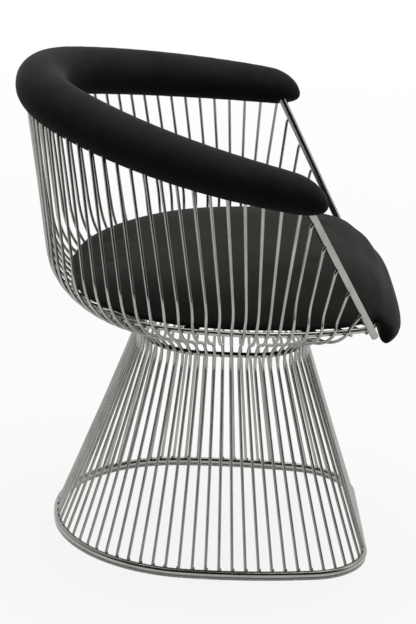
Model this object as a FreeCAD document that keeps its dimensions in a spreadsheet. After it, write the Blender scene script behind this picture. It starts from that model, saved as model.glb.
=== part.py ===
import FreeCAD, Part
import math
import os

V = FreeCAD.Vector
UP = V(0, 0, 1)
SIDEWAYS = V(1, 0, 0)

# Steel wire armchair: a cage of bent rods, an arm and back roll, and a seat cushion.
# Millimetres. The chair faces -Y, +X is the sitter's left, and the floor is z = 0.

doc = FreeCAD.newDocument("wire_armchair")
sheet = doc.addObject("Spreadsheet::Sheet", "sizes")

SIZES = {
    # Wire cage
    "rod_diameter": 4.6,
    "rods_per_side": 38,
    "front_rods_per_side": 9,
    "bar_rods_per_side": 5,
    "side_rods_per_side": 12,
    "weld_gap": 0.2,
    "knee_radius": 45,
    "knee_drop": 16,
    "neck_rise": -2,
    "neck_bend": 9,
    "bowl_angle": 50,
    "sweep_angle": 44,
    "basket_flare": 31,
    "basket_bend_height": 58,
    # Base ring and its floor strip
    "base_rod": 10,
    "base_front": 264,
    "base_back": 205,
    "base_half_width": 214.5,
    "base_widest": -48,
    "base_front_corner": 96,
    "base_back_corner": 207,
    "base_side_bow": 800,
    "strip_width": 8,
    "strip_floor": 3,
    "strip_fit": 0.1,
    # Neck ring, where the cage is narrowest
    "neck_rod": 8,
    "neck_height": 325,
    "neck_front": 155,
    "neck_back": 85,
    "neck_half_width": 136,
    "neck_widest": -38,
    "neck_front_corner": 85,
    "neck_back_corner": 95,
    "neck_side_bow": 600,
    # Seat ring, which carries the cushion
    "seat_rod": 8,
    "seat_height": 398,
    "seat_front": 246,
    "seat_back": 192,
    "seat_half_width": 248,
    "seat_widest": -48,
    "seat_front_corner": 45,
    "seat_back_corner": 190,
    "seat_side_bow": 440,
    "front_rod_reach": 249,
    "bar_rod_pitch": 21,
    "side_rod_pitch": 16,
    # Top rail, the C-shaped rod inside the roll
    "rail_rod": 8,
    "rail_end_x": 296,
    "rail_end_y": -127,
    "rail_back": 273,
    "rail_back_radius": 220,
    "rail_side_bow": 560,
    "rail_drop": 14,
    "first_rod": 7.5,
    "arm_rod_pitch": 27.5,
    # Diagonal arm bars
    "bar_rod": 11,
    "bar_contact": 9,
    "bar_tail": 12,
    "bar_edge": 2.5,
    "bar_corner_angle": 43,
    "bar_first_hook": 0.14,
    "bar_hook_pitch": 0.17,
    "hook_size": 4,
    # Arm and back roll
    "roll_radius": 31.5,
    "roll_droop_length": 42,
    "roll_droop_radius": 130,
    "roll_end_x": 292,
    "roll_end_y": -90,
    "roll_back": 257,
    "roll_back_radius": 186,
    "roll_side_bow": 552,
    "roll_height": 640.1,
    "roll_slope": 0.1394,
    "roll_lift": 0.00021,
    "roll_skin": 2,
    # Seat cushion, pan and fixings
    "cushion_inset": 6,
    "cushion_seat_gap": 0.3,
    "cushion_crest": -118,
    "crown_height": 87.5,
    "shoulder": -208,
    "shoulder_crown": 73,
    "bend_crown": 37,
    "bend_half_width": 199,
    "lip_half_width": 186,
    "lip_radius": 6,
    "lip_end_radius": 14,
    "lip_crown": 36.5,
    "lip_end_crown": 24.5,
    "lip_angle": 155,
    "side_height": 18,
    "side_tuck": 5,
    "skin": 2,
    "fit": 0.3,
    "foam_fit": 0.7,
    "pan_thickness": 8,
    "pan_front": -233,
    "return_width": 25,
    "dust_sheet": 1.2,
    "tab_length": 50,
    "tab_width": 22,
    "tab_thickness": 3,
    "tab_hole_inset": 8,
    "tab_rear": 22,
    "tab_front": -148,
    "screw_diameter": 5,
    "screw_head": 10,
    "screw_head_height": 3.2,
    "screw_clearance": 0.4,
    "spacer_diameter": 16,
    "nut_flange": 18,
    "nut_flange_height": 1.5,
    "nut_barrel": 7.5,
}

for row, (alias, value) in enumerate(SIZES.items(), start=1):
    sheet.set("A%d" % row, alias)
    sheet.set("B%d" % row, str(value))
    sheet.setAlias("B%d" % row, alias)
doc.recompute()


def size(alias):
    """Value of one named cell."""
    return float(sheet.get(alias))


def count(alias):
    """Whole number held by one named cell."""
    return int(round(size(alias)))


rod_radius = size("rod_diameter") / 2
gap = size("weld_gap")
fit = size("fit")

# Lines and arcs

def unit(vector):
    """Copy of a vector with length one."""
    return V(vector).normalize()


def line(start, end):
    """Straight edge."""
    return Part.LineSegment(start, end).toShape()


def arc_from(start, tangent, end):
    """Arc that leaves start along tangent and reaches end; a line if they are in line."""
    chord = end - start
    aside = chord - tangent * chord.dot(tangent)
    if aside.Length < 1e-6 * chord.Length:
        return line(start, end)
    normal = unit(aside)
    radius = chord.Length ** 2 / (2 * chord.dot(normal))
    half = math.atan2(chord.dot(normal), chord.dot(tangent))
    middle = start + tangent * (radius * math.sin(half)) + normal * (radius * (1 - math.cos(half)))
    return Part.Arc(start, middle, end).toShape()


def biarc(start, start_tangent, end, end_tangent):
    """Two tangent arcs from start to end that keep both tangents."""
    step = end - start
    both = start_tangent + end_tangent
    a = 2 * (1 - start_tangent.dot(end_tangent))
    b = 2 * step.dot(both)
    c = -step.dot(step)
    if a < 1e-9:
        reach = -c / b
    else:
        reach = (math.sqrt(b * b - 4 * a * c) - b) / (2 * a)
    joint = (start + end + (start_tangent - end_tangent) * reach) * 0.5
    joint_tangent = unit(joint - start - start_tangent * reach)
    return [arc_from(start, start_tangent, joint), arc_from(joint, joint_tangent, end)]


def along(edges, distance):
    """Point at a distance along a chain of edges."""
    for edge in edges[:-1]:
        if distance <= edge.Length:
            return edge.valueAt(edge.getParameterByLength(distance))
        distance -= edge.Length
    last = edges[-1]
    return last.valueAt(last.getParameterByLength(min(distance, last.Length)))


def direction_along(edges, distance):
    """Direction of a chain of edges at a distance along it."""
    for edge in edges[:-1]:
        if distance <= edge.Length:
            return edge.tangentAt(edge.getParameterByLength(distance))
        distance -= edge.Length
    last = edges[-1]
    return last.tangentAt(last.getParameterByLength(min(distance, last.Length)))


def butt_length(radius, heading, other_radius, other_heading):
    """Distance short of another bar's axis at which a flat-ended bar stops, clear of its side."""
    slant = abs(heading.dot(other_heading))
    return (other_radius + gap + radius * slant) / math.sqrt(1 - slant ** 2)


def total(edges):
    """Length of a chain of edges."""
    return sum(edge.Length for edge in edges)


def mirrored(shape):
    """Same shape on the other side of the chair."""
    return shape.mirror(V(0, 0, 0), SIDEWAYS)


def tube(edges, radius):
    """Round bar swept along a chain of tangent edges."""
    start = edges[0].valueAt(edges[0].FirstParameter)
    tangent = edges[0].tangentAt(edges[0].FirstParameter)
    section = Part.Wire(Part.makeCircle(radius, start, tangent))
    return Part.Wire(edges).makePipeShell([section], True, False)


# Ring outlines: straight front and back, round corners and bowed sides

class Outline:
    """Plan of a ring, moved outward by an offset. All its arcs are tangent."""

    def __init__(self, ring, height, offset=0.0):
        self.height = height
        self.front = size(ring + "_front") + offset
        self.back = size(ring + "_back") + offset
        self.half_width = size(ring + "_half_width") + offset
        self.widest = size(ring + "_widest")
        self.front_corner = size(ring + "_front_corner") + offset
        self.back_corner = size(ring + "_back_corner") + offset
        self.bow = size(ring + "_side_bow") + offset
        self.bow_x = self.half_width - self.bow
        self.front_y = self.front_corner - self.front
        self.back_y = self.back - self.back_corner
        self.front_x = self.centre_x(self.front_y, self.bow - self.front_corner)
        self.back_x = self.centre_x(self.back_y, self.bow - self.back_corner)

    def centre_x(self, y, reach):
        """Corner centre that keeps its arc tangent to the side bow."""
        return self.bow_x + math.sqrt(reach ** 2 - (y - self.widest) ** 2)

    def point(self, x, y):
        return V(x, y, self.height)

    def on_arc(self, x, y, radius, angle):
        return self.point(x + radius * math.cos(angle), y + radius * math.sin(angle))

    def joint_angle(self, x, y):
        """Direction from the side bow's centre to a corner's centre."""
        return math.atan2(y - self.widest, x - self.bow_x)

    def half(self):
        """Edges on the +X side, from the middle of the front to the middle of the back."""
        low = self.joint_angle(self.front_x, self.front_y)
        high = self.joint_angle(self.back_x, self.back_y)
        front = (self.front_x, self.front_y, self.front_corner)
        side = (self.bow_x, self.widest, self.bow)
        back = (self.back_x, self.back_y, self.back_corner)
        edges = [line(self.point(0, -self.front), self.point(self.front_x, -self.front))]
        spans = ((front, -math.pi / 2, low), (side, low, high), (back, high, math.pi / 2))
        for circle, first, last in spans:
            points = [self.on_arc(*circle, angle) for angle in (first, (first + last) / 2, last)]
            edges.append(Part.Arc(*points).toShape())
        edges.append(line(self.point(self.back_x, self.back), self.point(0, self.back)))
        return edges

    def closed(self):
        """Whole outline as one closed wire, starting in the middle of the front."""
        right = self.half()
        return Part.Wire(Part.__sortEdges__(right + [mirrored(edge) for edge in right]))

    def half_width_at(self, y):
        """Distance from the middle plane to the outline at one y."""
        side = math.sqrt(max(self.bow ** 2 - (y - self.widest) ** 2, 0)) + self.bow_x
        front = math.sqrt(max(self.front_corner ** 2 - (y - self.front_y) ** 2, 0)) + self.front_x
        back = math.sqrt(max(self.back_corner ** 2 - (y - self.back_y) ** 2, 0)) + self.back_x
        if y < self.widest + self.bow * math.sin(self.joint_angle(self.front_x, self.front_y)):
            return front
        if y > self.widest + self.bow * math.sin(self.joint_angle(self.back_x, self.back_y)):
            return back
        return side


# C-shaped curves of the roll and the rail

def roll_height_at(y):
    """Height of the roll's middle line, which climbs from the arms to the back."""
    return size("roll_height") + size("roll_slope") * y + size("roll_lift") * y * y


def hoop(name, drop):
    """Half of a C curve from the arm's front end to the middle of the back, as biarcs."""
    end = (size(name + "_end_x"), size(name + "_end_y"))
    back_radius = size(name + "_back_radius")
    bow = size(name + "_side_bow")
    back_y = size(name + "_back") - back_radius
    apart = math.hypot(end[0], end[1] - back_y)
    reach = bow - back_radius
    toward = (bow ** 2 - reach ** 2 + apart ** 2) / (2 * apart)
    aside = math.sqrt(bow ** 2 - toward ** 2)
    ux, uy = -end[0] / apart, (back_y - end[1]) / apart
    centre = (end[0] + ux * toward - uy * aside, end[1] + uy * toward + ux * aside)
    first = math.atan2(end[1] - centre[1], end[0] - centre[0])
    joint = math.atan2(back_y - centre[1], -centre[0])
    knots = []
    for circle_x, circle_y, radius, angle in (
        (*centre, bow, first),
        (*centre, bow, (first + joint) / 2),
        (*centre, bow, joint),
        (0, back_y, back_radius, (joint + math.pi / 2) / 2),
        (0, back_y, back_radius, math.pi / 2),
    ):
        x = circle_x + radius * math.cos(angle)
        y = circle_y + radius * math.sin(angle)
        climb = size("roll_slope") + 2 * size("roll_lift") * y
        tangent = V(-math.sin(angle), math.cos(angle), climb * math.cos(angle))
        knots.append((V(x, y, roll_height_at(y) - drop), unit(tangent)))
    edges = []
    for (start, start_tangent), (finish, finish_tangent) in zip(knots, knots[1:]):
        edges += biarc(start, start_tangent, finish, finish_tangent)
    return edges, knots[0]


def whole_hoop(half):
    """Edges of the full C in order, from the right arm end round the back to the left one."""
    other = [mirrored(edge) for edge in reversed(half)]
    turned = []
    for edge in other:
        points = edge.discretize(3)
        turned.append(Part.Arc(points[2], points[1], points[0]).toShape())
    return half + turned


# Document objects

parts = {}


def feature(label, shape):
    """Object whose shape is worked out from the sheet by the functions here."""
    made = doc.addObject("Part::Feature", label)
    made.Shape = shape
    made.Label = label
    made.Placement = FreeCAD.Placement()
    return made


def bound(kind, name, **expressions):
    """Primitive whose properties follow cells of the sheet."""
    made = doc.addObject(kind, name)
    for prop, expression in expressions.items():
        made.setExpression(prop, expression)
    return made


def keep(node, made):
    """Marks an object as one of the chair's pieces."""
    made.Label = node
    parts[node] = made
    return made


def joined(kind, name, base, tool):
    """Boolean of two document objects."""
    made = doc.addObject(kind, name)
    made.Base = base
    made.Tool = tool
    return made


# Rings

base_z = size("strip_floor") + size("base_rod") / 2
seat_z = size("seat_height")
neck_z = size("neck_height")


def ring(node, outline, diameter):
    """Closed round ring swept along an outline."""
    spine = feature(node + "_spine", outline.closed())
    section = bound("Part::Circle", node + "_section", Radius="sizes.%s / 2" % diameter)
    start = outline.point(0, -outline.front)
    section.Placement = FreeCAD.Placement(start, FreeCAD.Rotation(UP, SIDEWAYS))
    swept = doc.addObject("Part::Sweep", node)
    swept.Sections = [section]
    swept.Spine = (spine, [])
    swept.Solid = True
    swept.Frenet = False
    return keep(node, swept)


base_outline = Outline("base", base_z)
neck_outline = Outline("neck", neck_z)
seat_outline = Outline("seat", seat_z)
ring("base_ring", base_outline, "base_rod")
ring("neck_ring", neck_outline, "neck_rod")
ring("seat_ring", seat_outline, "seat_rod")


def floor_strip():
    """Clear strip under the base ring, flat below and hollowed to the rod above."""
    half = size("strip_width") / 2
    seat_radius = size("base_rod") / 2 + size("strip_fit")
    lip = base_z - math.sqrt(seat_radius ** 2 - half ** 2)
    y = -base_outline.front
    corners = [V(0, y - half, 0), V(0, y + half, 0), V(0, y + half, lip), V(0, y - half, lip)]
    hollow = Part.Arc(corners[2], V(0, y, base_z - seat_radius), corners[3]).toShape()
    section = Part.Wire([line(corners[0], corners[1]), line(corners[1], corners[2]), hollow,
                         line(corners[3], corners[0])])
    floor_line = Outline("base", 0).closed()
    return floor_line.makePipeShell([section], True, False)


keep("floor_strip", feature("floor_strip", floor_strip()))

# Top rail and the bars under the arms

rail_half, (rail_end, rail_tangent) = hoop("rail", size("rail_drop"))
keep("top_rail", feature("top_rail", tube(whole_hoop(rail_half), size("rail_rod") / 2)))

bar_radius = size("bar_rod") / 2
corner_angle = math.radians(-size("bar_corner_angle"))
bar_reach = seat_outline.front_corner + bar_radius + size("seat_rod") / 2 + gap
bar_low = seat_outline.on_arc(seat_outline.front_x, seat_outline.front_y, bar_reach, corner_angle)
rail_contact = along(rail_half, size("bar_contact"))
bar_side = unit((rail_contact - bar_low).cross(rail_tangent))
bar_top = rail_contact + bar_side * (bar_radius + size("rail_rod") / 2 + gap)
bar_axis = unit(bar_top - bar_low)
bar_foot = bar_low - bar_axis * size("bar_tail")
bar_head = bar_top + bar_axis * (size("rail_rod") / 2)


def arm_bar(node, flip):
    """Straight round bar with eased ends, from the seat ring's corner to the rail's inner side."""
    bar = bound("Part::Cylinder", node + "_bar", Radius="sizes.bar_rod / 2")
    bar.Height = (bar_head - bar_foot).Length
    foot = V(flip * bar_foot.x, bar_foot.y, bar_foot.z)
    axis = V(flip * bar_axis.x, bar_axis.y, bar_axis.z)
    bar.Placement = FreeCAD.Placement(foot, FreeCAD.Rotation(UP, axis))
    doc.recompute()
    eased = doc.addObject("Part::Fillet", node)
    eased.Base = bar
    edge = size("bar_edge")
    eased.Edges = [(1, edge, edge), (3, edge, edge)]
    return keep(node, eased)


arm_bar("arm_bar_left", 1)
arm_bar("arm_bar_right", -1)

# Rods of the cage, numbered from the middle of the front to the middle of the back

per_side = count("rods_per_side")
front_count = count("front_rods_per_side")
bar_count = count("bar_rods_per_side")
bar_last = front_count + bar_count
rail_count = per_side - bar_last
sweep = math.radians(size("sweep_angle"))
bowl_rise = math.radians(size("bowl_angle"))

base_edges = base_outline.half()
neck_edges = Outline("neck", neck_z, (size("neck_rod") / 2 + rod_radius) + gap).half()
seat_offset = (size("seat_rod") / 2 + rod_radius + 3 * gap) / math.sin(sweep)
seat_edges = Outline("seat", seat_z, seat_offset).half()
under_ring = seat_z - size("seat_rod") / 2 - rod_radius - gap
front_edges = Outline("seat", under_ring).half()


def even_places(edges, number):
    """Distances to the middles of equal shares of a chain of edges."""
    share = total(edges) / number
    return [share * (place + 0.5) for place in range(number)]


def spread_places(edges, first, pitch):
    """Distances to the rail rods; their spacing changes evenly, to end half a space from the middle."""
    steps = rail_count - 0.5
    change = 2 * (total(edges) - first - pitch * steps) / steps ** 2
    return [first + pitch * n + change * n * n / 2 for n in range(rail_count)]


def seat_points():
    """Where the rods meet the seat ring: wide apart in front, closest at the sides."""
    reach = size("front_rod_reach")
    bar_pitch = size("bar_rod_pitch")
    side_pitch = size("side_rod_pitch")
    front = [along(front_edges, reach * (place + 0.5) / front_count) for place in range(front_count)]
    places = [reach + bar_pitch * (place + 0.5) for place in range(bar_count)]
    places += spread_places(seat_edges, reach + bar_pitch * bar_count + side_pitch / 2, side_pitch)
    return front + [along(seat_edges, place) for place in places]


def leg(base, base_heading, neck):
    """Lower half of a rod: straight up from the base ring, then a knee to upright at the neck."""
    knee = neck - UP * size("knee_drop")
    slope = unit(knee - base)
    turn = slope.getAngle(UP)
    tangent_length = size("knee_radius") * math.tan(turn / 2)
    foot = base + slope * butt_length(rod_radius, slope, size("base_rod") / 2, base_heading)
    bend_start = knee - slope * tangent_length
    bend_end = knee + UP * tangent_length
    top = neck + UP * size("neck_rise")
    return [line(foot, bend_start), arc_from(bend_start, slope, bend_end), line(bend_end, top)]


def outward(neck, seat):
    """Level direction in which a rod sweeps out under the seat."""
    return unit(V(seat.x - neck.x, seat.y - neck.y, 0))


def front_rod(lower, neck, seat):
    """Rod that sweeps forward and ends under the seat ring."""
    return lower + biarc(neck + UP * size("neck_rise"), UP, seat, outward(neck, seat))


def basket_rod(lower, neck, seat, bend, finish):
    """Rod that bends out at the neck, sweeps round the seat ring and runs straight to its end."""
    away = outward(neck, seat)
    leaving = away * math.cos(bowl_rise) + UP * math.sin(bowl_rise)
    rising = away * math.cos(sweep) + UP * math.sin(sweep)
    radius = size("neck_bend")
    start = neck + UP * size("neck_rise")
    turned = start + away * (radius * (1 - math.sin(bowl_rise))) + UP * (radius * math.cos(bowl_rise))
    bowl = [arc_from(start, UP, turned)] + biarc(turned, leaving, seat, rising)
    return lower + bowl + biarc(seat, rising, bend, unit(finish - bend)) + [line(bend, finish)]


def rail_rod(lower, neck, seat, place):
    """Rod that ends on the rail inside the roll."""
    bend = seat + outward(neck, seat) * size("basket_flare") + UP * size("basket_bend_height")
    rail = along(rail_half, place)
    heading = unit(rail - bend)
    short = butt_length(rod_radius, heading, size("rail_rod") / 2, direction_along(rail_half, place))
    return basket_rod(lower, neck, seat, bend, rail - heading * short)


def bar_rod(lower, neck, seat, place):
    """Short rod that ends with a hook on the diagonal bar."""
    share = size("bar_first_hook") + size("bar_hook_pitch") * place
    on_axis = bar_low + (bar_top - bar_low) * share
    behind = V(1, 1, 0)
    behind = unit(behind - bar_axis * behind.dot(bar_axis))
    touch = on_axis + behind * (bar_radius + gap)
    hook = size("hook_size")
    low = seat + outward(neck, seat) * (hook / 2) + UP * hook
    heading = unit(touch + behind * hook - low)
    hook_start = touch + behind * hook - heading * hook
    rise = (hook_start - seat).dot(UP)
    bend = seat + (hook_start - seat) * 0.3 + UP * (0.1 * rise)
    edges = basket_rod(lower, neck, seat, bend, hook_start)
    return edges + biarc(hook_start, unit(hook_start - bend), touch, behind * -1)


def cage():
    """Edge chains of the +X rods, from front to back."""
    necks = [along(neck_edges, place) for place in even_places(neck_edges, per_side)]
    seats = seat_points()
    on_rail = spread_places(rail_half, size("first_rod"), size("arm_rod_pitch"))
    made = []
    for n, place in enumerate(even_places(base_edges, per_side)):
        neck, seat = necks[n], seats[n]
        lower = leg(along(base_edges, place), direction_along(base_edges, place), neck)
        if n < front_count:
            made.append(front_rod(lower, neck, seat))
        elif n < bar_last:
            made.append(bar_rod(lower, neck, seat, n - front_count))
        else:
            made.append(rail_rod(lower, neck, seat, on_rail[n - bar_last]))
    return made


chains = cage()
left_rods = [tube(chain, rod_radius) for chain in chains]
right_rods = [mirrored(rod) for rod in left_rods]
side_last = bar_last + count("side_rods_per_side")
GROUPS = (
    ("front_rods", left_rods[:front_count] + right_rods[:front_count]),
    ("arm_rods_left", left_rods[front_count:bar_last]),
    ("arm_rods_right", right_rods[front_count:bar_last]),
    ("side_rods_left", left_rods[bar_last:side_last]),
    ("side_rods_right", right_rods[bar_last:side_last]),
    ("back_rods_left", left_rods[side_last:]),
    ("back_rods_right", right_rods[side_last:]),
)
for node, rods in GROUPS:
    keep(node, feature(node, Part.makeCompound(rods)))

# Arm and back roll: a foam tube round the rail, in a sewn cover

roll_half, (roll_end, roll_tangent) = hoop("roll", 0)


def roll_solid(inset):
    """Round roll whose arm ends droop and are rounded, smaller all over by inset."""
    radius = size("roll_radius") - inset
    droop_radius = size("roll_droop_radius")
    droop = size("roll_droop_length") / droop_radius
    ahead = roll_tangent * -1
    down = unit(ahead * ahead.z - UP)
    nose = roll_end + ahead * (droop_radius * math.sin(droop)) + down * (droop_radius * (1 - math.cos(droop)))
    heading = ahead * math.cos(droop) + down * math.sin(droop)
    half = [arc_from(nose, heading * -1, roll_end)] + roll_half
    cap = Part.makeSphere(radius, nose, heading, 0, 90, 360)
    return tube(whole_hoop(half), radius).fuse([cap, mirrored(cap)]).removeSplitter()


def largest(shape):
    """Main solid of a cut shape, without the plugs that its holes leave."""
    return max(shape.Solids, key=lambda solid: solid.Volume)


def rail_room():
    """Room for the rail, the rods that end on it and the heads of the arm bars."""
    channel_radius = size("rail_rod") / 2 + fit
    lead = Part.makeCylinder(channel_radius, fit, rail_end, rail_tangent * -1)
    foot = (bar_low + bar_top) * 0.5
    bore = Part.makeCylinder(bar_radius + fit, (bar_head - foot).Length + fit, foot, bar_axis)
    tools = [lead, bore]
    for chain in chains[bar_last:]:
        run = chain[-1]
        top = run.valueAt(run.LastParameter)
        heading = run.tangentAt(run.LastParameter)
        low = top - heading * (2 * size("roll_radius"))
        reach = 2 * size("roll_radius") + size("rail_rod") / 2
        tools.append(Part.makeCylinder(rod_radius + fit, reach, low, heading))
    return [tube(whole_hoop(rail_half), channel_radius)] + tools + [mirrored(tool) for tool in tools]


room = rail_room()
skin = size("roll_skin")
roll_cover = largest(roll_solid(0).cut(roll_solid(skin)).cut(room))
roll_foam = largest(roll_solid(skin + fit).cut(room))
keep("roll_cover", feature("roll_cover", roll_cover))
keep("roll_foam", feature("roll_foam", roll_foam))

# Seat cushion: crowned, drawn in at its sides, with a lip that folds over the seat ring's front

cushion_bottom = seat_z + size("seat_rod") / 2 + size("cushion_seat_gap")

# Places of the pad's sections, as shares of the way from its crest to its back
PAD_STEPS = (0.985, 0.93, 0.82, 0.64, 0.4, 0.16, 0)

# Places of the lip's sections, as shares of its turn round the ring
LIP_STEPS = (0.29, 0.58, 0.82, 1)


def cushion_section(centre, normal, half_width, crown, shoulder, inset):
    """Closed section: flat below, bulging sides up to the shoulder and an arched top."""
    wide = half_width - inset
    top = crown - inset
    low = inset
    brow_height = shoulder - 0.6 * inset
    tuck = min(size("side_tuck"), 0.4 * (brow_height - low))

    def at(x, up):
        return centre + SIDEWAYS * x + normal * up

    middle = (low + brow_height) / 2
    foot, bulge, brow = (wide - tuck, low), (wide, middle), (wide - tuck / 3, brow_height)
    return Part.Wire([
        line(at(-foot[0], foot[1]), at(*foot)),
        Part.Arc(at(*foot), at(*bulge), at(*brow)).toShape(),
        Part.Arc(at(*brow), at(0, top), at(-brow[0], brow[1])).toShape(),
        Part.Arc(at(-brow[0], brow[1]), at(-bulge[0], bulge[1]), at(-foot[0], foot[1])).toShape(),
    ])


def pad_sections(inset):
    """Upright sections of the pad, from its back to the seat ring's front."""
    plan = Outline("seat", seat_z, -size("cushion_inset"))
    crest = size("cushion_crest")
    front = -size("seat_front")
    places = []
    for share in PAD_STEPS:
        y = crest + (plan.back - crest) * share
        places.append((y, plan.half_width_at(y), size("crown_height") * math.sqrt(1 - share ** 2)))
    shoulder = size("shoulder")
    places.append((shoulder, plan.half_width_at(shoulder), size("shoulder_crown")))
    places.append((front, size("bend_half_width"), size("bend_crown")))
    sections = []
    for y, width, crown in places:
        shift = 0 if sections else inset
        side = min(size("side_height"), 0.5 * crown)
        sections.append(cushion_section(V(0, y - shift, cushion_bottom), UP, width, crown, side, inset))
    return sections


def lip_sections(inset):
    """Sections of the lip, turned step by step round the seat ring's front."""
    radius = size("lip_radius")
    pivot = V(0, -size("seat_front"), cushion_bottom - radius)
    full = math.radians(size("lip_angle"))
    full -= inset / (size("lip_end_radius") + size("lip_end_crown") / 2)
    level = math.pi / 2
    sections = []
    for share in LIP_STEPS:
        turn = full * share
        past = max(0, turn - level) / (full - level)
        inner = radius + (size("lip_end_radius") - radius) * past
        crown = size("lip_crown") + (size("lip_end_crown") - size("lip_crown")) * past ** 2
        width = size("bend_half_width") + (size("lip_half_width") - size("bend_half_width")) * share
        normal = V(0, -math.sin(turn), math.cos(turn))
        side = crown * (0.5 + 0.2 * share)
        sections.append(cushion_section(pivot + normal * inner, normal, width, crown, side, inset))
    return sections


def cushion_solid(inset):
    """Pad over the seat ring and lip over its front, smaller all over by inset."""
    pad = pad_sections(inset)
    lip = pad[-1:] + lip_sections(inset)
    return Part.makeLoft(pad, True, False).fuse(Part.makeLoft(lip, True, False))


cushion = feature("cushion_outer", cushion_solid(0))
hollow = feature("cushion_hollow", cushion_solid(size("skin")))
filling = feature("cushion_filling", cushion_solid(size("skin") + size("foam_fit")))

seat_shell = joined("Part::Cut", "cushion_shell", cushion, hollow)
window_outline = Outline("seat", cushion_bottom, -size("cushion_inset") - size("return_width"))
window = feature("cover_window", Part.Face(window_outline.closed()).extrude(UP * (size("skin") + fit / 2)))
window.Placement = FreeCAD.Placement(V(0, 0, -fit / 4), FreeCAD.Rotation())
keep("seat_cover", joined("Part::Cut", "seat_cover", seat_shell, window))

pan_low = cushion_bottom + size("skin") + size("foam_fit")
pan_top = pan_low + size("pan_thickness")


def slab(name, front, low, high):
    """Block behind a front plane and between two heights, wider than the seat."""
    block = bound("Part::Box", name, Length="4 * sizes.seat_half_width", Width="4 * sizes.seat_back")
    block.Height = high - low
    block.Placement = FreeCAD.Placement(V(-2 * size("seat_half_width"), front, low), FreeCAD.Rotation())
    return block


pan_blank = joined("Part::Common", "pan_blank", filling,
                   slab("pan_slab", size("pan_front"), cushion_bottom, pan_top))
foam_blank = joined("Part::Cut", "foam_blank", filling,
                    slab("foam_slab", size("pan_front") - fit, cushion_bottom, pan_top + fit))

# Tabs, spacers, screws and nuts that hold the seat to its ring

tab_ring = Outline("seat", seat_z, -size("seat_rod") / 2 - gap)
tab_places = []
for y in (size("tab_rear"), size("tab_front")):
    square = math.asin((y - tab_ring.widest) / tab_ring.bow)
    edge = tab_ring.on_arc(tab_ring.bow_x, tab_ring.widest, tab_ring.bow, square)
    tab_places.append((edge, math.pi + square))
    tab_places.append((V(-edge.x, edge.y, edge.z), -square))
hole_reach = size("tab_length") - size("tab_hole_inset")
screw_places = [V(edge.x + hole_reach * math.cos(turn), edge.y + hole_reach * math.sin(turn), 0)
                for edge, turn in tab_places]


def repeated(node, source, placements):
    """Group of equal separate solids."""
    doc.recompute()
    copies = []
    for placement in placements:
        copy = source.Shape.copy()
        copy.Placement = placement.multiply(source.Placement)
        copies.append(copy)
    return keep(node, feature(node, Part.makeCompound(copies)))


def upright_at(place, height):
    return FreeCAD.Placement(place + UP * height, FreeCAD.Rotation())


tab_block = bound("Part::Box", "tab_block", Length="sizes.tab_length", Width="sizes.tab_width",
                  Height="sizes.tab_thickness")
tab_block.setExpression(".Placement.Base.y", "-sizes.tab_width / 2")
tab_hole = bound("Part::Cylinder", "tab_hole", Radius="sizes.screw_diameter / 2 + sizes.screw_clearance",
                 Height="sizes.tab_thickness")
tab_hole.setExpression(".Placement.Base.x", "sizes.tab_length - sizes.tab_hole_inset")
tab = joined("Part::Cut", "tab", tab_block, tab_hole)
tab_low = seat_z - size("tab_thickness") / 2
tab_high = seat_z + size("tab_thickness") / 2
repeated("seat_tabs", tab, [
    FreeCAD.Placement(V(edge.x, edge.y, tab_low), FreeCAD.Rotation(UP, math.degrees(turn)))
    for edge, turn in tab_places])

spacer_body = bound("Part::Cylinder", "spacer_body", Radius="sizes.spacer_diameter / 2")
spacer_body.Height = pan_low - tab_high
spacer_bore = bound("Part::Cylinder", "spacer_bore",
                    Radius="sizes.screw_diameter / 2 + sizes.screw_clearance")
spacer_bore.Height = pan_low - tab_high
spacer = joined("Part::Cut", "spacer", spacer_body, spacer_bore)
repeated("seat_spacers", spacer, [upright_at(place, tab_high) for place in screw_places])

screw_shank = bound("Part::Cylinder", "screw_shank", Radius="sizes.screw_diameter / 2")
screw_shank.Height = pan_top - tab_low
screw_head = bound("Part::Cylinder", "screw_head", Radius="sizes.screw_head / 2",
                   Height="sizes.screw_head_height")
screw_head.setExpression(".Placement.Base.z", "-sizes.screw_head_height")
screw = joined("Part::Fuse", "screw", screw_shank, screw_head)
repeated("seat_screws", screw, [upright_at(place, tab_low) for place in screw_places])

nut_barrel = bound("Part::Cylinder", "nut_barrel_body", Radius="sizes.nut_barrel / 2",
                   Height="sizes.pan_thickness")
nut_flange = bound("Part::Cylinder", "nut_flange_body", Radius="sizes.nut_flange / 2",
                   Height="sizes.nut_flange_height")
nut_flange.setExpression(".Placement.Base.z", "sizes.pan_thickness")
nut_blank = joined("Part::Fuse", "nut_blank", nut_barrel, nut_flange)
nut_bore = bound("Part::Cylinder", "nut_bore", Radius="sizes.screw_diameter / 2 + 0.05 * sizes.screw_clearance",
                 Height="sizes.pan_thickness + sizes.nut_flange_height")
nut = joined("Part::Cut", "nut", nut_blank, nut_bore)
repeated("tee_nuts", nut, [upright_at(place, pan_low) for place in screw_places])


def posts(name, diameter, low, high):
    """Round tools on the four screw lines."""
    tools = [Part.makeCylinder(diameter / 2, high - low, place + UP * low) for place in screw_places]
    return feature(name, Part.makeCompound(tools))


pan_holes = posts("pan_holes", size("nut_barrel") + 2 * gap, pan_low - fit, pan_top + fit)
keep("seat_pan", joined("Part::Cut", "seat_pan", pan_blank, pan_holes))

foam_pockets = posts("foam_pockets", size("nut_flange") + 2 * fit, pan_low,
                     pan_top + size("nut_flange_height") + fit)
keep("seat_foam", joined("Part::Cut", "seat_foam", foam_blank, foam_pockets))

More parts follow.
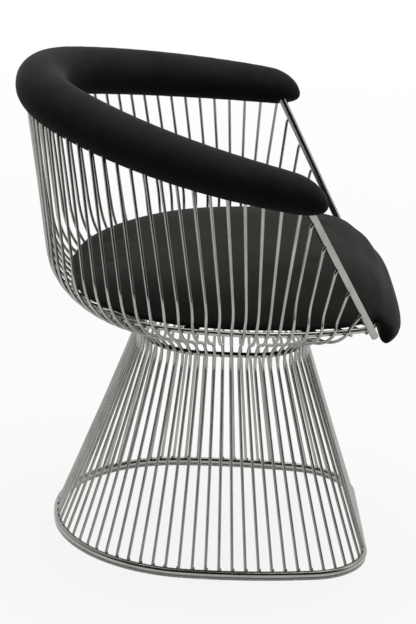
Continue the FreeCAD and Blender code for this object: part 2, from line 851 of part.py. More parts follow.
sheet_outline = Outline("seat", pan_low - fit - size("dust_sheet"),
                        -size("cushion_inset") - size("return_width") - fit)
sheet_blank = feature("dust_blank", Part.Face(sheet_outline.closed()).extrude(UP * size("dust_sheet")))
sheet_holes = posts("dust_holes", size("spacer_diameter") + 2 * fit, tab_high, pan_low)
keep("dust_sheet", joined("Part::Cut", "dust_sheet", sheet_blank, sheet_holes))

# Check and write

doc.recompute()
for made in doc.Objects:
    if "Invalid" in made.State or "Error" in made.State:
        raise RuntimeError("%s failed: %s" % (made.Label, made.State))
for node, made in parts.items():
    if made.Shape.isNull() or not made.Shape.isValid() or not made.Shape.Solids:
        raise RuntimeError("%s has no valid solid" % node)

os.makedirs("parts", exist_ok=True)
for node, made in parts.items():
    made.Shape.exportStep("parts/%s.step" % node)
    print("%-16s %2d solids %10.0f mm3" % (node, len(made.Shape.Solids), made.Shape.Volume))
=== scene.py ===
import math

import bpy
import numpy as np
from mathutils import Matrix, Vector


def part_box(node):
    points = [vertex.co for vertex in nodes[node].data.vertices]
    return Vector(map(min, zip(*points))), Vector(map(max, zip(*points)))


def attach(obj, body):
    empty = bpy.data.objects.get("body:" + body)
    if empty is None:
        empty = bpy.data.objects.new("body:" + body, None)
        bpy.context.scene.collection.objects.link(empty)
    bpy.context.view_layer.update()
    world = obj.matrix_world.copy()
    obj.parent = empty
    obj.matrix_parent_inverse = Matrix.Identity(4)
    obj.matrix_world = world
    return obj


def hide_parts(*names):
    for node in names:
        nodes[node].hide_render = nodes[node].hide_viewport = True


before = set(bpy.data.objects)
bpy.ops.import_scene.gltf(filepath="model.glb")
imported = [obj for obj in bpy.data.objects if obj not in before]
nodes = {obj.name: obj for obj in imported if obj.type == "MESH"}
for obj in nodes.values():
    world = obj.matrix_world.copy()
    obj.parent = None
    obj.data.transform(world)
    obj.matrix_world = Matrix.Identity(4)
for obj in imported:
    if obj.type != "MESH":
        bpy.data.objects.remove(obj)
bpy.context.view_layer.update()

MM = 0.001
UP = np.array((0.0, 0.0, 1.0))

# The photograph's frame and where it was taken from
IMAGE_HEIGHT_PX = 624
FOCAL_PX = 2508
SENSOR_HEIGHT = 24.0
CAMERA_AZIMUTH = 267.2
CAMERA_ELEVATION = 19.5
CAMERA_ROLL = 3.2
CAMERA_DISTANCE = 3800 * MM
CAMERA_TARGET = np.array((0.0, -12.5, 342.0)) * MM

# Middle line of the arm and back roll, and how it thins and droops towards the arms' tips
ROLL_RADIUS = 37 * MM
ROLL_THINNING = 10.5 * MM
ROLL_END = np.array((292.0, -90.0)) * MM
ROLL_BACK = 252 * MM
ROLL_BACK_RADIUS = 186 * MM
ROLL_SIDE_RADIUS = 552 * MM
ROLL_HEIGHT = 640.1 * MM
ROLL_SLOPE = 0.1394
ROLL_LIFT = 0.21
ROLL_REACH = 69 * MM
ROLL_NOSE = 54 * MM
ROLL_NOSE_DROP = 0.45
ROLL_DROOP = 7 * MM
ROLL_ROWS = 320
ROLL_COLUMNS = 48
ARC_POINTS = 200

# Seat cushion's pad: its plan, its crown and its sides
SEAT_TOP = 402.3 * MM
PAD_BACK = 198.9 * MM
PAD_WIDEST = -48 * MM
PAD_HALF_WIDTH = 249 * MM
PAD_OVAL_POWER = 2.35
PAD_CREST = -150 * MM
PAD_CROWN = 70.5 * MM
PAD_FALL_POWER = 0.7
PAD_ARCH_POWER = 4.5
PAD_SIDE = 9.3 * MM
PAD_SIDE_SHARE = 0.5
PAD_TUCK = 2 * MM
PAD_TUCK_SHARE = 0.4
PAD_BACK_ROWS = 60
PAD_FRONT_ROWS = 24
SECTION_TOP_POINTS = 61
SECTION_CORNER_POINTS = 8
SECTION_BOTTOM_POINTS = 41

# Half widths and crowns towards the pad's front, in millimetres at places along y
PAD_WIDTH_PLACES = (-246, -208, -150, -100, -48)
PAD_WIDTHS = (187.6, 217.8, 237, 246, 249)
PAD_CROWN_PLACES = (-246, -230, -208, -180, -150)
PAD_CROWNS = (46.6, 60.5, 67.5, 70, 70.5)

# The cushion's lip: it turns over the seat ring's front about a pivot in y and z, by degrees
LIP_PIVOT = np.array((-246.0, 396.3)) * MM
LIP_START = 5
LIP_TURN = 148
LIP_CLOSING = 12
LIP_ROWS = 40
LIP_CLOSING_ROWS = 9

# Gap between the pivot and the lip's underside, and its growth from straight ahead to the tip
LIP_GAP = 6
LIP_GAP_GROWTH = 8
LIP_AHEAD = 90
LIP_GROWING = 65

# Half widths, crowns and sides of the lip, in millimetres at turns in degrees
LIP_TURNS = (0, 45, 90, 120, 160)
LIP_WIDTHS = (187.6, 184.9, 187.9, 188.7, 187.9)
LIP_CROWNS = (46.6, 28.6, 37.3, 46.5, 31.7)
LIP_SIDES = (10.2, 9.2, 16.4, 19, 21.5)

# Cage rods and their weld beads; a ring's rods are cut at a share of the ring's height
ROD_RADIUS = 2.3 * MM
ROD_ANGLE_APART = 0.008
RING_MIDDLE_Y = -30 * MM
RING_CUTS = {"base_ring": 1.2, "neck_ring": 0.5, "seat_ring": 0.5}
BEAD_RADIUS = 2.2 * MM
BEAD_OFFSET = 0.8 * ROD_RADIUS
BEAD_ROWS = 6
BEAD_COLUMNS = 8

# Padded skins: quads this wide swell at most this far, and the cushion starts half of that inside
VOXEL = 5 * MM
SWELL = 2 * MM
CUSHION_INSET = 0.5 * SWELL
SIM_FRAMES = 20
CLOTH = {
    "quality": 4,
    "mass": 0.3,
    "tension_stiffness": 25,
    "compression_stiffness": 25,
    "shear_stiffness": 15,
    "bending_stiffness": 2,
    "use_pressure": True,
    "uniform_pressure_force": 4.0,
}
EVENING_FACTOR = 0.5
EVENING_STEPS = 16

# The cushion's skin stays put this near the pivot and this low, and keeps its shape a little higher
HELD_NEAR_PIVOT = 18 * MM
HELD_HEIGHT = 3 * MM
FIRM_HEIGHT = 9 * MM

# Studio: the floor's shadow fades out with distance and the surroundings brighten along x
FLOOR_REACH = 14.0
FLOOR_GLOW = 0.88
FLOOR_FADE_START = 0.5
FLOOR_FADE_END = 3.0
ROOM_DIM_X = -0.4
ROOM_BRIGHT_X = 0.9
ROOM_DIM = 0.01
ROOM_BRIGHT = 0.9

# Soft lamps: name, place and width in metres, and power in watts
LAMPS = (
    ("overhead softbox", (0.3, -0.1, 3.0), 2.2, 45),
    ("front softbox", (0.4, -3.2, 2.4), 1.6, 10),
)


# Colour and materials

def linear(hex_colour):
    """Linear RGBA of an sRGB hex colour: a straight part near black and a power of 2.4 above it."""
    channels = np.array([int(hex_colour[i:i + 2], 16) for i in (1, 3, 5)]) / 255
    low = channels / 12.92
    high = ((channels + 0.055) / 1.055) ** 2.4
    return (*np.where(channels <= 0.04045, low, high).tolist(), 1.0)


def add(tree, kind, settings=None, stops=(), **inputs):
    """One node with its settings and links.

    Each input is a value or another node's output socket, under the input's name, or its number after a
    low line. Stops are a colour ramp's pairs of place and hex colour."""
    node = tree.nodes.new("ShaderNode" + kind)
    for name, value in (settings or {}).items():
        setattr(node, name, value)
    for number, (place, colour) in enumerate(stops):
        node.color_ramp.elements[number].position = place
        node.color_ramp.elements[number].color = linear(colour)
    for name, value in inputs.items():
        key = int(name[1:]) if name[0] == "_" else name.replace("_", " ")
        if isinstance(value, bpy.types.NodeSocket):
            tree.links.new(value, node.inputs[key])
        else:
            node.inputs[key].default_value = value
    return node


def new_material(name):
    """Empty node material, its tree and the place on the object that its patterns follow."""
    material = bpy.data.materials.new(name)
    material.use_nodes = True
    tree = material.node_tree
    tree.nodes.clear()
    return material, tree, add(tree, "TexCoord").outputs["Object"]


def satin_nickel_steel():
    """Drawn steel rod, polished and nickel plated: a warm grey metal with faint drawing marks."""
    material, tree, place = new_material("satin nickel-plated steel rod")
    cloud = add(tree, "TexNoise", Vector=place, Scale=1 / (40 * MM), Detail=4.0)
    grain = add(tree, "TexNoise", Vector=place, Scale=1 / (1.5 * MM), Detail=3.0)
    colour = add(tree, "ValToRGB", stops=((0.3, "#9a9a95"), (0.7, "#b0b0ab")), Fac=cloud.outputs["Fac"])
    rough = add(tree, "MapRange", Value=grain.outputs["Fac"], To_Min=0.2, To_Max=0.3)
    bump = add(tree, "Bump", Strength=0.03, Distance=0.05 * MM, Height=grain.outputs["Fac"])
    shader = add(tree, "BsdfPrincipled", Base_Color=colour.outputs["Color"], Metallic=1.0,
                 Roughness=rough.outputs["Result"], Normal=bump.outputs["Normal"])
    add(tree, "OutputMaterial", Surface=shader.outputs["BSDF"])
    return material


def black_velvet():
    """Woven cotton velvet, dyed black: a deep matt pile that pales where it is seen edge on."""
    material, tree, place = new_material("black woven cotton velvet")
    nap = add(tree, "TexNoise", Vector=place, Scale=1 / (55 * MM), Detail=5.0, Roughness=0.6)
    # Pile tufts are 0.3 mm apart; drawn at 1.4 mm so that they show.
    pile = add(tree, "TexNoise", Vector=place, Scale=1 / (1.4 * MM), Detail=3.0, Roughness=0.7)
    blend = add(tree, "Mix", {"data_type": "FLOAT"}, Factor=0.45,
                _2=nap.outputs["Fac"], _3=pile.outputs["Fac"])
    colour = add(tree, "ValToRGB", stops=((0.3, "#212120"), (0.7, "#323230")), Fac=blend.outputs[0])
    bump = add(tree, "Bump", Strength=0.35, Distance=0.5 * MM, Height=pile.outputs["Fac"])
    shader = add(tree, "BsdfPrincipled", Base_Color=colour.outputs["Color"], Roughness=0.92,
                 Specular_IOR_Level=0.12, Sheen_Weight=0.4, Sheen_Roughness=0.3,
                 Sheen_Tint=linear("#9d9d98"), Normal=bump.outputs["Normal"])
    add(tree, "OutputMaterial", Surface=shader.outputs["BSDF"])
    return material


def clear_strip():
    """Extruded clear PVC: glassy and slightly grey, scuffed where it meets the floor."""
    material, tree, place = new_material("clear extruded PVC strip")
    scuff = add(tree, "TexNoise", Vector=place, Scale=1 / (6 * MM), Detail=4.0)
    rough = add(tree, "MapRange", Value=scuff.outputs["Fac"], To_Min=0.12, To_Max=0.4)
    shader = add(tree, "BsdfPrincipled", Base_Color=linear("#c9cbc8"),
                 Roughness=rough.outputs["Result"], IOR=1.53, Transmission_Weight=0.3)
    add(tree, "OutputMaterial", Surface=shader.outputs["BSDF"])
    return material


def black_lining():
    """Spunbond polypropylene lining: flat black with a bonded diamond grid."""
    material, tree, place = new_material("black spunbond polypropylene lining")
    turned = add(tree, "Mapping", Vector=place, Rotation=(0, 0, math.radians(45)))
    bond = add(tree, "TexVoronoi", {"distance": "CHEBYCHEV"}, Vector=turned.outputs["Vector"],
               Scale=1 / (2.5 * MM), Randomness=0.0)
    colour = add(tree, "ValToRGB", stops=((0.1, "#1d1d1c"), (0.5, "#0f0f0f")),
                 Fac=bond.outputs["Distance"])
    bump = add(tree, "Bump", Strength=0.4, Distance=0.2 * MM, Height=bond.outputs["Distance"])
    shader = add(tree, "BsdfPrincipled", Base_Color=colour.outputs["Color"], Roughness=0.75,
                 Normal=bump.outputs["Normal"])
    add(tree, "OutputMaterial", Surface=shader.outputs["BSDF"])
    return material


def birch_plywood():
    """Rotary-cut birch plywood: pale tan with long streaks of grain."""
    material, tree, place = new_material("rotary-cut birch plywood")
    along = add(tree, "Mapping", Vector=place, Scale=(1, 0.06, 1))
    grain = add(tree, "TexNoise", Vector=along.outputs["Vector"], Scale=1 / (5 * MM), Detail=6.0)
    colour = add(tree, "ValToRGB", stops=((0.3, "#a8845a"), (0.7, "#d2b083")), Fac=grain.outputs["Fac"])
    shader = add(tree, "BsdfPrincipled", Base_Color=colour.outputs["Color"], Roughness=0.6)
    add(tree, "OutputMaterial", Surface=shader.outputs["BSDF"])
    return material


def seat_foam_filling():
    """Cut polyurethane foam: pale yellow open cells."""
    material, tree, place = new_material("cut polyurethane foam")
    cells = add(tree, "TexVoronoi", Vector=place, Scale=1 / (2 * MM))
    colour = add(tree, "ValToRGB", stops=((0.0, "#b8a878"), (0.6, "#e2d6ac")),
                 Fac=cells.outputs["Distance"])
    shader = add(tree, "BsdfPrincipled", Base_Color=colour.outputs["Color"], Roughness=0.95)
    add(tree, "OutputMaterial", Surface=shader.outputs["BSDF"])
    return material


def moulded_nylon():
    """Moulded black nylon: dark and slightly glossy with a fine spark-eroded grain."""
    material, tree, place = new_material("moulded black nylon")
    grain = add(tree, "TexNoise", Vector=place, Scale=1 / (0.8 * MM), Detail=2.0)
    colour = add(tree, "ValToRGB", stops=((0.3, "#161616"), (0.7, "#1e1e1e")), Fac=grain.outputs["Fac"])
    shader = add(tree, "BsdfPrincipled", Base_Color=colour.outputs["Color"], Roughness=0.5)
    add(tree, "OutputMaterial", Surface=shader.outputs["BSDF"])
    return material


def zinc_plate():
    """Bright zinc-plated steel: bluish metal with cloudy plating."""
    material, tree, place = new_material("zinc-plated steel")
    cloud = add(tree, "TexNoise", Vector=place, Scale=1 / (4 * MM), Detail=4.0)
    colour = add(tree, "ValToRGB", stops=((0.3, "#a3a8ab"), (0.7, "#c5cacb")), Fac=cloud.outputs["Fac"])
    shader = add(tree, "BsdfPrincipled", Base_Color=colour.outputs["Color"], Metallic=1.0, Roughness=0.35)
    add(tree, "OutputMaterial", Surface=shader.outputs["BSDF"])
    return material


def plated_weld():
    """Plated weld bead: duller and darker than the drawn rod, with fine ripples."""
    material, tree, place = new_material("plated weld bead")
    ripple = add(tree, "TexNoise", Vector=place, Scale=1 / (1.2 * MM), Detail=3.0)
    colour = add(tree, "ValToRGB", stops=((0.3, "#55554f"), (0.7, "#7c7c76")), Fac=ripple.outputs["Fac"])
    bump = add(tree, "Bump", Strength=0.3, Distance=0.2 * MM, Height=ripple.outputs["Fac"])
    shader = add(tree, "BsdfPrincipled", Base_Color=colour.outputs["Color"], Metallic=1.0, Roughness=0.42,
                 Normal=bump.outputs["Normal"])
    add(tree, "OutputMaterial", Surface=shader.outputs["BSDF"])
    return material


STEEL = satin_nickel_steel()
WELD = plated_weld()
VELVET = black_velvet()
ROD_NODES = ("front_rods", "arm_rods_left", "arm_rods_right", "side_rods_left", "side_rods_right",
             "back_rods_left", "back_rods_right")
NODE_FINISHES = {
    STEEL: ROD_NODES + ("base_ring", "neck_ring", "seat_ring", "top_rail", "arm_bar_left",
                        "arm_bar_right", "seat_tabs"),
    VELVET: ("roll_cover", "seat_cover"),
    clear_strip(): ("floor_strip",),
    black_lining(): ("dust_sheet",),
    birch_plywood(): ("seat_pan",),
    seat_foam_filling(): ("seat_foam", "roll_foam"),
    moulded_nylon(): ("seat_spacers",),
    zinc_plate(): ("seat_screws", "tee_nuts"),
}


def paint(thing, material):
    """Gives an object one material."""
    thing.data.materials.clear()
    thing.data.materials.append(material)


for finish, names in NODE_FINISHES.items():
    for name in names:
        paint(nodes[name], finish)


# Meshes

def new_object(name, points, faces):
    """Mesh object from whole arrays of points and faces, at the origin."""
    mesh = bpy.data.meshes.new(name)
    mesh.from_pydata(points.tolist(), [], faces.tolist())
    mesh.update()
    made = bpy.data.objects.new(name, mesh)
    bpy.context.scene.collection.objects.link(made)
    return made


def grid_faces(rows, columns):
    """Quads of a grid that closes on itself across its columns."""
    row, column = np.meshgrid(np.arange(rows - 1), np.arange(columns), indexing="ij")
    following = (column + 1) % columns
    corners = (row * columns + column, row * columns + following,
               (row + 1) * columns + following, (row + 1) * columns + column)
    return np.stack([corner.ravel() for corner in corners], axis=1)


def unit(vectors):
    """Vectors with length one along the last axis."""
    return vectors / np.linalg.norm(vectors, axis=-1, keepdims=True)


def mesh_points(mesh):
    """Vertex places of a mesh as one array."""
    points = np.empty(len(mesh.vertices) * 3)
    mesh.vertices.foreach_get("co", points)
    return points.reshape(-1, 3)


def evaluated_mesh(thing):
    """Mesh of an object with its modifiers applied."""
    return bpy.data.meshes.new_from_object(thing.evaluated_get(bpy.context.evaluated_depsgraph_get()))


def even_skin(thing):
    """Rebuilds an object's surface as even quads one voxel wide."""
    remesh = thing.modifiers.new("even skin", "REMESH")
    remesh.mode = "VOXEL"
    remesh.voxel_size = VOXEL
    thing.data = evaluated_mesh(thing)
    thing.modifiers.clear()


def swell(thing, held):
    """Inflates a closed skin as cloth under air pressure.

    Points where held is true stay, and each other point goes at most as far as the swell."""
    start = mesh_points(thing.data)
    group = thing.vertex_groups.new(name="held")
    group.add(np.flatnonzero(held).tolist(), 1.0, "REPLACE")
    cloth = thing.modifiers.new("skin", "CLOTH")
    for name, value in CLOTH.items():
        setattr(cloth.settings, name, value)
    cloth.settings.vertex_group_mass = "held"
    cloth.settings.effector_weights.gravity = 0
    cloth.collision_settings.use_collision = False
    scene = bpy.context.scene
    for number in range(1, SIM_FRAMES + 1):
        scene.frame_set(number)
    moved = mesh_points(evaluated_mesh(thing)) - start
    thing.modifiers.clear()
    thing.vertex_groups.clear()
    scene.frame_set(1)
    reach = np.linalg.norm(moved, axis=1, keepdims=True)
    place = start + moved * (SWELL / np.maximum(reach, SWELL))
    thing.data.vertices.foreach_set("co", place.ravel())
    thing.data.update()


def soften(thing, loose):
    """Evens out creases where loose is true, then shades smooth and subdivides once."""
    thing.data.shade_smooth()
    group = thing.vertex_groups.new(name="loose")
    group.add(np.flatnonzero(loose).tolist(), 1.0, "REPLACE")
    even = thing.modifiers.new("even", "SMOOTH")
    even.vertex_group = "loose"
    even.factor = EVENING_FACTOR
    even.iterations = EVENING_STEPS
    subdivision = thing.modifiers.new("soft", "SUBSURF")
    subdivision.levels = 1
    subdivision.render_levels = 1


# Arm and back roll

def roll_line():
    """Even points of the roll's middle line from one arm's nose round to the other's, and their travel.

    In plan a side arc runs from the arm end into a tighter back arc that it touches; the height follows y
    with a slope and a square term. Past the arm ends the line goes straight on for the roll's reach."""
    back_centre = np.array((0.0, ROLL_BACK - ROLL_BACK_RADIUS))
    apart = np.linalg.norm(back_centre - ROLL_END)
    centres_apart = ROLL_SIDE_RADIUS - ROLL_BACK_RADIUS
    toward = (ROLL_SIDE_RADIUS ** 2 - centres_apart ** 2 + apart ** 2) / (2 * apart)
    aside = math.sqrt(ROLL_SIDE_RADIUS ** 2 - toward ** 2)
    along = (back_centre - ROLL_END) / apart
    side_centre = ROLL_END + along * toward + np.array((-along[1], along[0])) * aside
    first = math.atan2(*(ROLL_END - side_centre)[::-1])
    joint = math.atan2(*(back_centre - side_centre)[::-1])
    side_angle = np.linspace(first, joint, ARC_POINTS)
    back_angle = np.linspace(joint, math.pi / 2, ARC_POINTS)[1:]
    side = side_centre + ROLL_SIDE_RADIUS * np.stack((np.cos(side_angle), np.sin(side_angle)), axis=1)
    back = back_centre + ROLL_BACK_RADIUS * np.stack((np.cos(back_angle), np.sin(back_angle)), axis=1)
    plan = np.concatenate((side, back))
    height = ROLL_HEIGHT + ROLL_SLOPE * plan[:, 1] + ROLL_LIFT * plan[:, 1] ** 2
    half = np.column_stack((plan, height))
    ahead = unit(half[0] - half[1])
    half = np.concatenate((half[:1] + ahead * ROLL_REACH, half))
    whole = np.concatenate((half, half[-2::-1] * (-1, 1, 1)))
    length = np.concatenate(([0], np.cumsum(np.linalg.norm(np.diff(whole, axis=0), axis=1))))
    even = np.linspace(0, length[-1], ROLL_ROWS)
    return np.stack([np.interp(even, length, whole[:, axis]) for axis in range(3)], axis=1), even


def roll_skin():
    """Circle carried along the roll's line from tip to tip.

    Its radius falls by the cube of the share of the way to a tip, and as a quarter ellipse over the nose;
    the middle droops by the sixth power of that share, and a little more where the nose is thinner."""
    line, travelled = roll_line()
    half_length = travelled[-1] / 2
    from_tip = np.minimum(travelled, travelled[-1] - travelled)
    to_tip = 1 - from_tip / half_length
    forward = unit(np.gradient(line, axis=0))
    outward = unit(np.cross(forward, UP))
    upward = np.cross(outward, forward)
    body = ROLL_RADIUS - ROLL_THINNING * to_tip ** 3
    radius = body * np.sqrt(1 - (1 - np.clip(from_tip / ROLL_NOSE, 0, 1)) ** 2)
    middle = line - UP * (ROLL_DROOP * to_tip ** 6 + ROLL_NOSE_DROP * (body - radius))[:, None]
    angle = np.linspace(0, 2 * math.pi, ROLL_COLUMNS, endpoint=False)
    around = outward[:, None] * np.cos(angle)[:, None] + upward[:, None] * np.sin(angle)[:, None]
    points = middle[:, None] + around * radius[:, None, None]
    return points.reshape(-1, 3), grid_faces(ROLL_ROWS, ROLL_COLUMNS)[:, ::-1]


def arm_and_back_roll():
    """Velvet skin of the roll, swollen over its foam."""
    roll = new_object("arm_and_back_roll", *roll_skin())
    even_skin(roll)
    count = len(roll.data.vertices)
    swell(roll, np.zeros(count, bool))
    soften(roll, np.ones(count, bool))
    paint(roll, VELVET)
    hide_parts("roll_cover", "roll_foam")
    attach(roll, "root")


# Seat cushion

def smooth_through(knots, values, places):
    """Smooth curve through known values, as cubic pieces whose slopes come from the neighbours."""
    knots, values = np.array(knots, float), np.array(values, float)
    slopes = np.gradient(values, knots)
    piece = np.clip(np.searchsorted(knots, places) - 1, 0, len(knots) - 2)
    span = knots[piece + 1] - knots[piece]
    t = (places - knots[piece]) / span
    return ((1 + 2 * t) * (1 - t) ** 2 * values[piece] + t * (1 - t) ** 2 * span * slopes[piece]
            + t ** 2 * (3 - 2 * t) * values[piece + 1] - t ** 2 * (1 - t) * span * slopes[piece + 1])


def pad_rows():
    """Rows of the pad from back to front: place, tilt, half width, crown and side height.

    Behind its widest place the plan is a rounded oval and ahead of it a smooth curve through known widths.
    Behind the crest the crown falls as a flattened oval, ahead of it as a smooth curve to the ring's front.
    The side is even, and half the crown where the pad is thin."""
    share = np.sin(np.linspace(math.pi / 2, 0, PAD_BACK_ROWS))
    y = np.concatenate((PAD_CREST + (PAD_BACK - PAD_CREST) * share,
                        np.linspace(PAD_CREST, LIP_PIVOT[0], PAD_FRONT_ROWS)[1:]))
    behind = np.clip((y - PAD_WIDEST) / (PAD_BACK - PAD_WIDEST), 0, 1)
    oval = PAD_HALF_WIDTH * (1 - behind ** PAD_OVAL_POWER) ** (1 / PAD_OVAL_POWER)
    ahead = smooth_through(PAD_WIDTH_PLACES, PAD_WIDTHS, y / MM) * MM
    width = np.where(y > PAD_WIDEST, oval, ahead)
    past = np.clip((y - PAD_CREST) / (PAD_BACK - PAD_CREST), 0, 1)
    fall = smooth_through(PAD_CROWN_PLACES, PAD_CROWNS, y / MM) * MM
    crown = np.where(y > PAD_CREST, PAD_CROWN * (1 - past ** 2) ** PAD_FALL_POWER, fall)
    side = np.minimum(PAD_SIDE, PAD_SIDE_SHARE * crown)
    place = np.stack((y, np.full_like(y, SEAT_TOP)), axis=1)
    return place, np.zeros_like(y), width, crown, side


def lip_rows():
    """Rows of the lip, in the same terms as the pad's.

    They turn about the pivot, with widths, crowns and sides on smooth curves through known values. Over
    the last degrees crown and side close as a quarter circle."""
    closing_turn = LIP_CLOSING * np.sin(np.linspace(0, math.pi / 2, LIP_CLOSING_ROWS)[1:])
    degrees = np.concatenate((np.linspace(LIP_START, LIP_TURN, LIP_ROWS), LIP_TURN + closing_turn))
    closing = np.clip((degrees - LIP_TURN) / LIP_CLOSING, 0, 1)
    shrink = np.sqrt(1 - closing ** 2)
    turn = np.radians(degrees)
    growth = np.clip((degrees - LIP_AHEAD) / LIP_GROWING, 0, 1)
    gap = (LIP_GAP + LIP_GAP_GROWTH * growth + LIP_GAP_GROWTH * (1 - shrink)) * MM
    width = smooth_through(LIP_TURNS, LIP_WIDTHS, degrees) * MM
    crown = smooth_through(LIP_TURNS, LIP_CROWNS, degrees) * MM * shrink
    side = smooth_through(LIP_TURNS, LIP_SIDES, degrees) * MM * shrink
    outward = np.stack((-np.sin(turn), np.cos(turn)), axis=1)
    return LIP_PIVOT + outward * gap[:, None], turn, width, crown, side


def cushion_skin():
    """Closed sections carried over the pad and round the lip.

    Each section has a flat bottom, sides that are quarter ovals between foot and shoulder, and a top
    that is a flattened arch from shoulder to shoulder."""
    rows = [np.concatenate(pair) for pair in zip(pad_rows(), lip_rows())]
    place, turn, width, crown, side = rows
    width = np.maximum(width - CUSHION_INSET, 0)[:, None]
    crown = np.maximum(crown - CUSHION_INSET, 0)[:, None]
    side = np.minimum(side[:, None], crown)
    tuck = np.minimum(PAD_TUCK, PAD_TUCK_SHARE * side)
    across = np.linspace(1, -1, SECTION_TOP_POINTS)
    corner = np.linspace(0, math.pi / 2, SECTION_CORNER_POINTS)[1:]
    bottom = np.linspace(-1, 1, SECTION_BOTTOM_POINTS)[1:-1]
    x = np.concatenate((width * across, -width + tuck * (1 - np.cos(corner)), (width - tuck) * bottom,
                        (width - tuck * (1 - np.cos(corner)))[:, ::-1]), axis=1)
    arch = side + (crown - side) * (1 - np.abs(across) ** PAD_ARCH_POWER)
    edge = side * (1 - np.sin(corner))
    up = np.concatenate((arch, edge, np.zeros((len(turn), len(bottom))), edge[:, ::-1]), axis=1)
    y = place[:, :1] - np.sin(turn)[:, None] * up
    z = place[:, 1:] + np.cos(turn)[:, None] * up
    points = np.stack((x, y, z), axis=2)
    return points.reshape(-1, 3), grid_faces(*x.shape)


def seat_cushion():
    """Velvet seat cushion, swollen over its foam and held where it lies on the seat ring."""
    cushion = new_object("seat_cushion", *cushion_skin())
    even_skin(cushion)
    place = mesh_points(cushion.data)
    on_pad = place[:, 1] > LIP_PIVOT[0]
    near_pivot = np.linalg.norm(place[:, 1:] - LIP_PIVOT, axis=1) < HELD_NEAR_PIVOT
    swell(cushion, on_pad & (place[:, 2] < SEAT_TOP + HELD_HEIGHT) | near_pivot)
    soften(cushion, ~on_pad | (place[:, 2] > SEAT_TOP + FIRM_HEIGHT))
    paint(cushion, VELVET)
    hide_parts("seat_cover", "seat_foam", "seat_pan")
    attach(cushion, "root")


# Welds

def rod_crossings(level):
    """Middles of the cage rods where they cross a height, in order of their angle round the chair.

    Each mesh edge that crosses the height gives a point, and points without a gap in angle are one rod."""
    points = []
    for name in ROD_NODES:
        mesh = nodes[name].data
        place = mesh_points(mesh)
        edges = np.empty(len(mesh.edges) * 2, int)
        mesh.edges.foreach_get("vertices", edges)
        start, end = place[edges[::2]], place[edges[1::2]]
        crossing = (start[:, 2] > level) != (end[:, 2] > level)
        start, end = start[crossing], end[crossing]
        share = (level - start[:, 2]) / (end[:, 2] - start[:, 2])
        points.append(start + (end - start) * share[:, None])
    points = np.concatenate(points)
    angle = np.arctan2(points[:, 1] - RING_MIDDLE_Y, points[:, 0])
    order = np.argsort(angle)
    breaks = np.flatnonzero(np.diff(angle[order]) > ROD_ANGLE_APART) + 1
    groups = np.split(points[order], breaks)
    return np.array([(group.min(axis=0) + group.max(axis=0)) / 2 for group in groups])


def weld_beads():
    """Small round beads where the rods meet the rings.

    Each is a ball by tilt and turn, set off from the rod's middle towards the ring's nearest point."""
    centres = []
    for name, share in RING_CUTS.items():
        low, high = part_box(name)
        rods = rod_crossings(low[2] + (high[2] - low[2]) * share)
        ring = mesh_points(nodes[name].data)
        apart = ring[None] - rods[:, None]
        nearest = apart[np.arange(len(rods)), np.linalg.norm(apart, axis=2).argmin(axis=1)]
        centres.append(rods + unit(nearest) * BEAD_OFFSET)
    centres = np.concatenate(centres)
    tilt = np.linspace(-math.pi / 2, math.pi / 2, BEAD_ROWS)[:, None]
    turn = np.linspace(0, 2 * math.pi, BEAD_COLUMNS, endpoint=False)
    ball = np.stack((np.cos(tilt) * np.cos(turn), np.cos(tilt) * np.sin(turn),
                     np.sin(tilt) + 0 * turn), axis=2)
    ball = ball.reshape(-1, 3) * BEAD_RADIUS
    points = (centres[:, None] + ball).reshape(-1, 3)
    first = np.arange(len(centres))[:, None, None] * len(ball)
    faces = (first + grid_faces(BEAD_ROWS, BEAD_COLUMNS)).reshape(-1, 4)
    beads = new_object("weld_beads", points, faces)
    beads.data.shade_smooth()
    paint(beads, WELD)
    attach(beads, "root")


arm_and_back_roll()
seat_cushion()
weld_beads()


# Studio

def studio_floor():
    """Wide floor: white where it is seen, grey in the light it gives back, with the chair's faint shadow."""
    corners = np.array(((-1, -1, 0), (1, -1, 0), (1, 1, 0), (-1, 1, 0))) * FLOOR_REACH
    floor = new_object("studio_floor", corners, np.array(((0, 1, 2, 3),)))
    material, tree, place = new_material("white studio floor")
    path = add(tree, "LightPath")
    seen = add(tree, "Math", {"operation": "MAXIMUM"}, _0=path.outputs["Is Camera Ray"],
               _1=path.outputs["Is Glossy Ray"])
    seen = add(tree, "Math", {"operation": "MAXIMUM"}, _0=seen.outputs[0],
               _1=path.outputs["Is Transmission Ray"])
    grey = add(tree, "BsdfDiffuse", Color=linear("#8a8a8a"))
    pale = add(tree, "BsdfDiffuse", Color=linear("#f0f0f0"))
    white = add(tree, "Emission", Color=linear("#ffffff"), Strength=1.0)
    far = add(tree, "VectorMath", {"operation": "LENGTH"}, _0=place)
    share = add(tree, "MapRange", Value=far.outputs["Value"], From_Min=FLOOR_FADE_START,
                From_Max=FLOOR_FADE_END, To_Min=FLOOR_GLOW, To_Max=1.0)
    shown = add(tree, "MixShader", Fac=share.outputs["Result"], _1=pale.outputs["BSDF"],
                _2=white.outputs["Emission"])
    mixed = add(tree, "MixShader", Fac=seen.outputs[0], _1=grey.outputs["BSDF"],
                _2=shown.outputs["Shader"])
    add(tree, "OutputMaterial", Surface=mixed.outputs["Shader"])
    paint(floor, material)


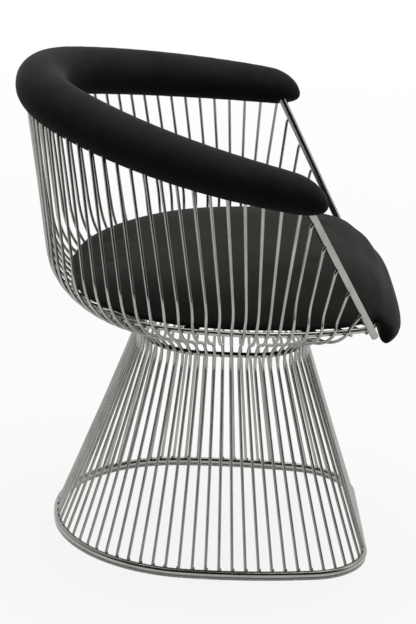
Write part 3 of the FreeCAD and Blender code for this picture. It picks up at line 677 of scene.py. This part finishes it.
def set_view(thing, place, back, roll):
    """Places an object that looks along minus back, turned about that line by roll in degrees."""
    right = unit(np.cross(UP, back))
    upward = np.cross(back, right)
    turn = math.radians(roll)
    matrix = np.eye(4)
    matrix[:3, 0] = right * math.cos(turn) + upward * math.sin(turn)
    matrix[:3, 1] = upward * math.cos(turn) - right * math.sin(turn)
    matrix[:3, 2] = back
    matrix[:3, 3] = place
    thing.matrix_world = Matrix(matrix.tolist())


def studio_light():
    """White surroundings that are darker on the side the photograph was taken from, and soft lamps."""
    world = bpy.data.worlds.new("studio")
    bpy.context.scene.world = world
    world.use_nodes = True
    tree = world.node_tree
    tree.nodes.clear()
    path = add(tree, "LightPath")
    way = add(tree, "SeparateXYZ", Vector=add(tree, "TexCoord").outputs["Generated"])
    away = add(tree, "MapRange", Value=way.outputs["X"], From_Min=ROOM_DIM_X, From_Max=ROOM_BRIGHT_X,
               To_Min=ROOM_DIM, To_Max=ROOM_BRIGHT)
    room = add(tree, "Math", {"operation": "MAXIMUM"}, _0=away.outputs["Result"],
               _1=path.outputs["Is Camera Ray"])
    background = add(tree, "Background", Color=linear("#ffffff"), Strength=room.outputs[0])
    add(tree, "OutputWorld", Surface=background.outputs["Background"])
    for name, place, width, watts in LAMPS:
        lamp = bpy.data.lights.new(name, "AREA")
        lamp.size = width
        lamp.energy = watts
        hung = bpy.data.objects.new(name, lamp)
        bpy.context.scene.collection.objects.link(hung)
        set_view(hung, np.array(place), unit(np.array(place) - CAMERA_TARGET), 0.0)


def photo_camera():
    """Camera at the photograph's place, from its turn and rise about the target, with its lean."""
    turn = math.radians(CAMERA_AZIMUTH)
    rise = math.radians(CAMERA_ELEVATION)
    back = np.array((math.sin(turn) * math.cos(rise), -math.cos(turn) * math.cos(rise), math.sin(rise)))
    camera = bpy.data.cameras.new("photo camera")
    camera.sensor_fit = "VERTICAL"
    camera.sensor_height = SENSOR_HEIGHT
    camera.lens = FOCAL_PX * SENSOR_HEIGHT / IMAGE_HEIGHT_PX
    seen = bpy.data.objects.new("photo camera", camera)
    bpy.context.scene.collection.objects.link(seen)
    set_view(seen, CAMERA_TARGET + back * CAMERA_DISTANCE, back, CAMERA_ROLL)
    bpy.context.scene.camera = seen


studio_floor()
studio_light()
photo_camera()
bpy.context.scene.view_settings.view_transform = "Standard"
